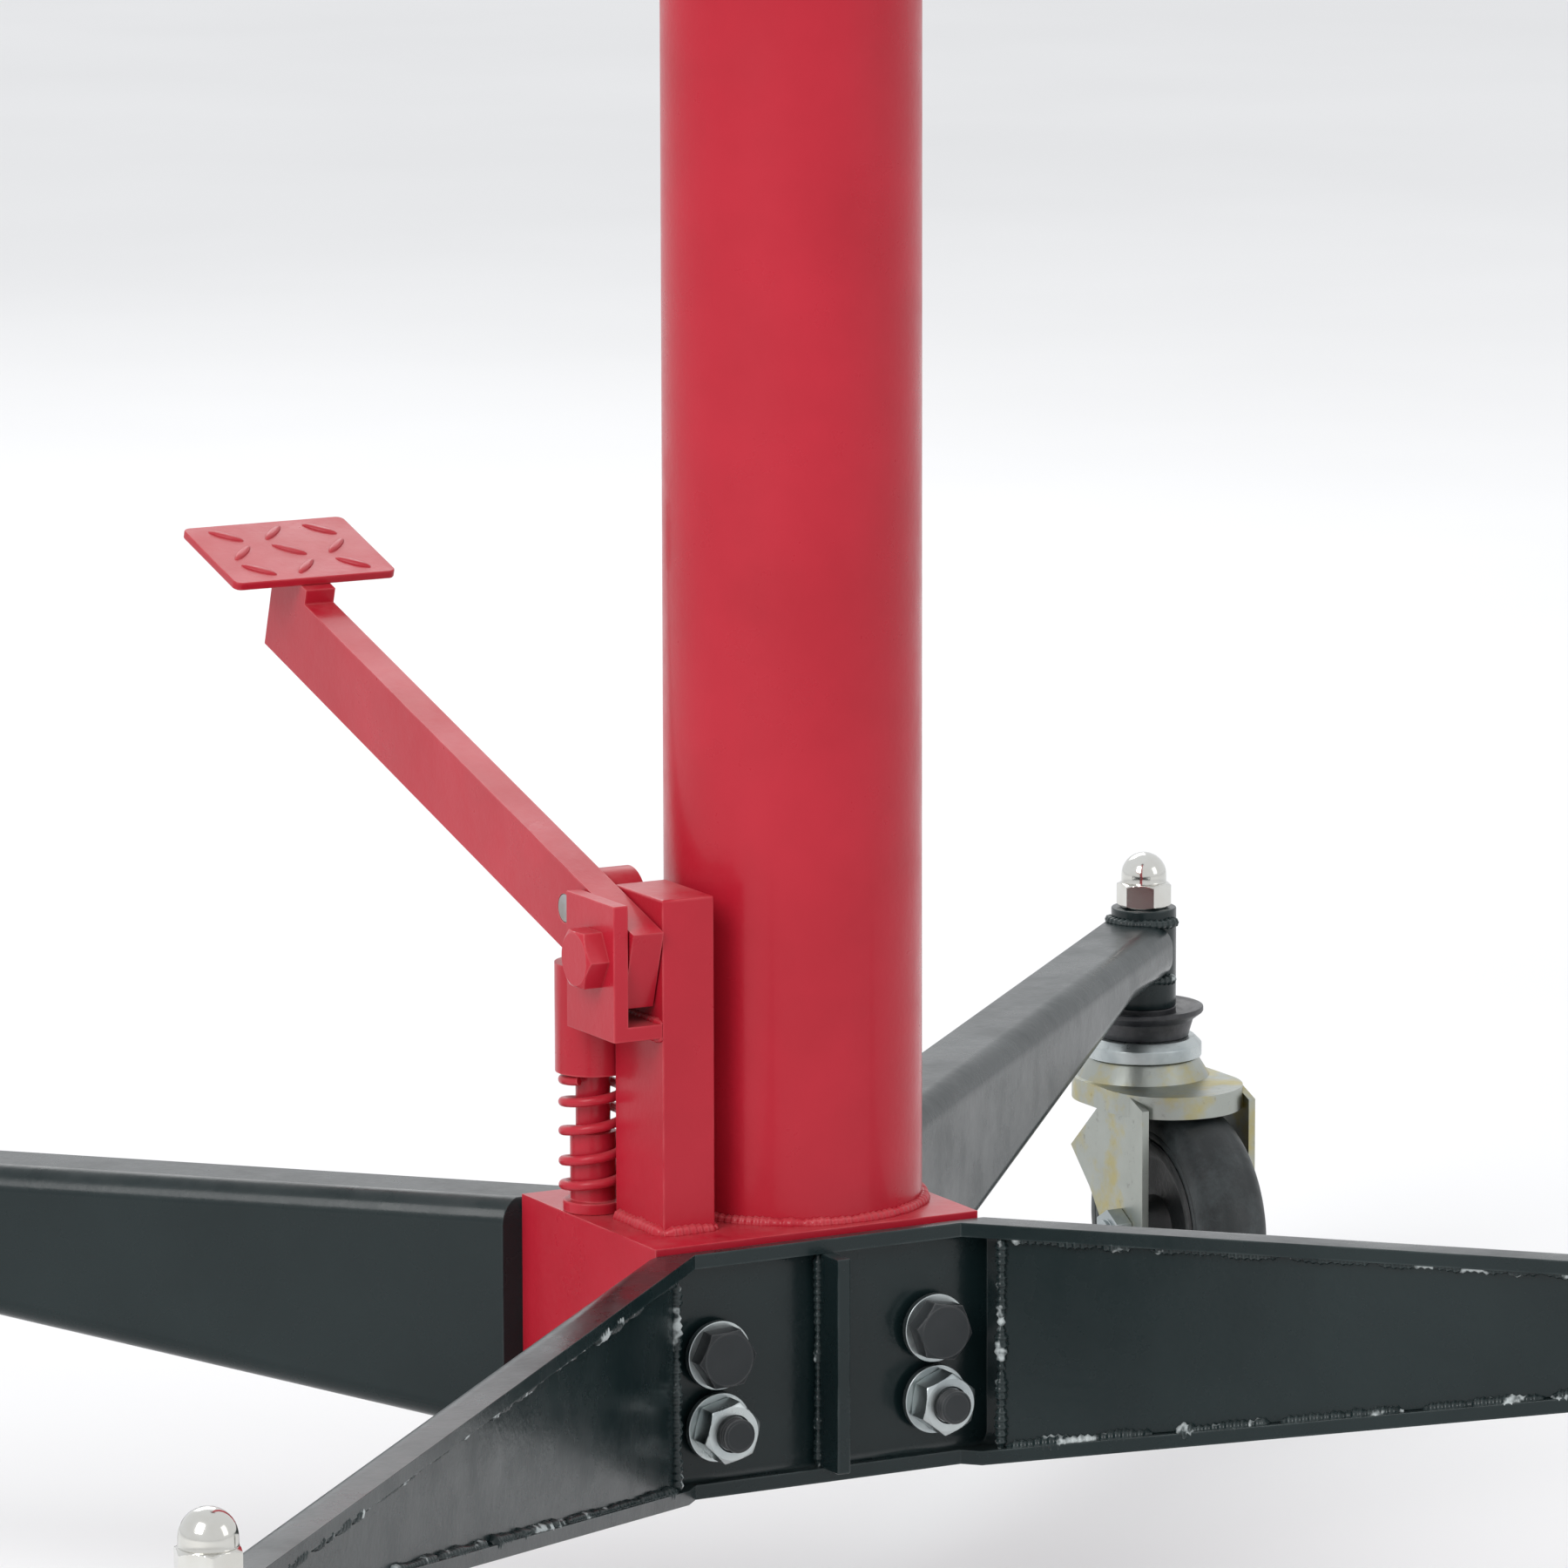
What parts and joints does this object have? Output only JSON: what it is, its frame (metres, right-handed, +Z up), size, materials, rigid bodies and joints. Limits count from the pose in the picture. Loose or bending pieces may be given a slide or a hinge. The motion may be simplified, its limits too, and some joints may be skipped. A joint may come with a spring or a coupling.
{
  "type": "transmission jack",
  "caption": "Vertical foot-pumped hydraulic transmission jack: a telescoping column on crossed channel legs with swivel casters and an adjustable saddle.",
  "frame": {"origin": "on the floor, under the middle of the base block", "axes": "+Z up along the column, +X along the block's front face to the right, +Y to the back, where the foot pedal points"},
  "size_m": [0.832, 0.827, 1.1593],
  "materials": {
    "red_paint": "gloss red enamel, slightly uneven",
    "black_paint": "gloss black enamel with a cool tint",
    "dark_bolt": "black oxide, satin",
    "zinc_plate": "bright zinc plating",
    "fork_zinc": "zinc plating with yellowish passivation",
    "chrome": "polished chrome",
    "plain_steel": "machined steel, oiled",
    "seal_rubber": "matte nitrile rubber",
    "black_plastic": "semi-gloss moulded plastic",
    "wheel_hub": "black moulded nylon",
    "tyre_rubber": "hard black rubber"
  },
  "bodies": {
    "base": {"base_block": "red_paint", "column_tube": "red_paint", "top_gland": "red_paint", "pump_post": "red_paint", "pump_bracket": "red_paint", "pivot_bolt": "red_paint", "pump_barrel": "red_paint", "return_spring": "red_paint", "front_leg_frame": "black_paint", "rear_leg_frame": "black_paint", "leg_side_plates": "black_paint", "frame_ribs": "black_paint", "caster_sleeves": "black_paint", "frame_bolts": "dark_bolt", "frame_nuts": "zinc_plate", "frame_washers": "zinc_plate", "caster_stems": "zinc_plate", "swivel_races": "zinc_plate", "filler_plug": "zinc_plate", "valve_plugs": "zinc_plate", "acorn_nuts": "chrome", "swivel_balls": "plain_steel", "cylinder_tube": "plain_steel", "valve_balls": "plain_steel", "rod_wiper": "seal_rubber", "swivel_dust_caps": "black_plastic"},
    "ram": {"ram_tube": "chrome", "piston": "plain_steel", "piston_seal": "seal_rubber", "saddle_socket": "plain_steel"},
    "saddle": {"saddle_plate": "black_paint", "saddle_bolts": "zinc_plate"},
    "pedal": {"pedal_arm": "red_paint", "pedal_pad": "red_paint", "plunger_pin": "plain_steel"},
    "plunger": {"plunger_rod": "red_paint", "plunger_head": "red_paint", "plunger_seal": "seal_rubber"},
    "release_valve": {"release_spindle": "zinc_plate", "release_handle": "black_paint"},
    "saddle_arm_1": {"saddle_arm_1": "black_paint"},
    "saddle_arm_2": {"saddle_arm_2": "black_paint"},
    "saddle_arm_3": {"saddle_arm_3": "black_paint"},
    "saddle_arm_4": {"saddle_arm_4": "black_paint"},
    "caster_fl": {"fork_fl": "fork_zinc", "axle_fl": "zinc_plate"},
    "wheel_fl": {"hub_fl": "wheel_hub", "tyre_fl": "tyre_rubber"},
    "caster_fr": {"fork_fr": "fork_zinc", "axle_fr": "zinc_plate"},
    "wheel_fr": {"hub_fr": "wheel_hub", "tyre_fr": "tyre_rubber"},
    "caster_rl": {"fork_rl": "fork_zinc", "axle_rl": "zinc_plate"},
    "wheel_rl": {"hub_rl": "wheel_hub", "tyre_rl": "tyre_rubber"},
    "caster_rr": {"fork_rr": "fork_zinc", "axle_rr": "zinc_plate"},
    "wheel_rr": {"hub_rr": "wheel_hub", "tyre_rr": "tyre_rubber"}
  },
  "joints": [
    {"name": "ram_lift", "type": "slide", "parent": "base", "child": "ram", "axis": [0, 0, 1], "range_m": [0, 0.78]},
    {"name": "saddle_swivel", "type": "hinge", "parent": "ram", "child": "saddle", "pos_m": [0.0175, 0, 1.082], "axis": [0, 0, 1], "continuous": true},
    {"name": "saddle_arm_1_slide", "type": "slide", "parent": "saddle", "child": "saddle_arm_1", "axis": [0.7071, 0.7071, 0], "range_m": [0, 0.045]},
    {"name": "saddle_arm_2_slide", "type": "slide", "parent": "saddle", "child": "saddle_arm_2", "axis": [-0.7071, 0.7071, 0], "range_m": [0, 0.045]},
    {"name": "saddle_arm_3_slide", "type": "slide", "parent": "saddle", "child": "saddle_arm_3", "axis": [-0.7071, -0.7071, 0], "range_m": [0, 0.045]},
    {"name": "saddle_arm_4_slide", "type": "slide", "parent": "saddle", "child": "saddle_arm_4", "axis": [0.7071, -0.7071, 0], "range_m": [0, 0.045]},
    {"name": "pedal_pivot", "type": "hinge", "parent": "base", "child": "pedal", "pos_m": [-0.057, -0.019, 0.266], "axis": [1, 0, 0], "range_deg": [-26, 0], "stiffness_Nm_per_rad": 5, "springref_deg": 48.7},
    {"name": "plunger_slide", "type": "slide", "parent": "base", "child": "plunger", "axis": [0, 0, 1], "range_m": [-0.0166, 0], "deforming": ["return_spring"]},
    {"name": "release_valve_turn", "type": "hinge", "parent": "base", "child": "release_valve", "pos_m": [0.0625, 0.02, 0.093], "axis": [1, 0, 0], "range_deg": [0, 180]},
    {"name": "caster_fl_swivel", "type": "hinge", "parent": "base", "child": "caster_fl", "pos_m": [-0.385, -0.385, 0.11], "axis": [0, 0, 1], "continuous": true},
    {"name": "wheel_fl_spin", "type": "hinge", "parent": "caster_fl", "child": "wheel_fl", "pos_m": [-0.385, -0.357, 0.05], "axis": [1, 0, 0], "continuous": true},
    {"name": "caster_fr_swivel", "type": "hinge", "parent": "base", "child": "caster_fr", "pos_m": [0.385, -0.385, 0.11], "axis": [0, 0, 1], "continuous": true},
    {"name": "wheel_fr_spin", "type": "hinge", "parent": "caster_fr", "child": "wheel_fr", "pos_m": [0.385, -0.357, 0.05], "axis": [1, 0, 0], "continuous": true},
    {"name": "caster_rl_swivel", "type": "hinge", "parent": "base", "child": "caster_rl", "pos_m": [-0.385, 0.385, 0.11], "axis": [0, 0, 1], "continuous": true},
    {"name": "wheel_rl_spin", "type": "hinge", "parent": "caster_rl", "child": "wheel_rl", "pos_m": [-0.385, 0.357, 0.05], "axis": [1, 0, 0], "continuous": true},
    {"name": "caster_rr_swivel", "type": "hinge", "parent": "base", "child": "caster_rr", "pos_m": [0.385, 0.385, 0.11], "axis": [0, 0, 1], "continuous": true},
    {"name": "wheel_rr_spin", "type": "hinge", "parent": "caster_rr", "child": "wheel_rr", "pos_m": [0.385, 0.357, 0.05], "axis": [1, 0, 0], "continuous": true}
  ],
  "couplings": [
    {"joint": "plunger_slide", "follows": "pedal_pivot", "m_per_rad": 0.035605}
  ]
}
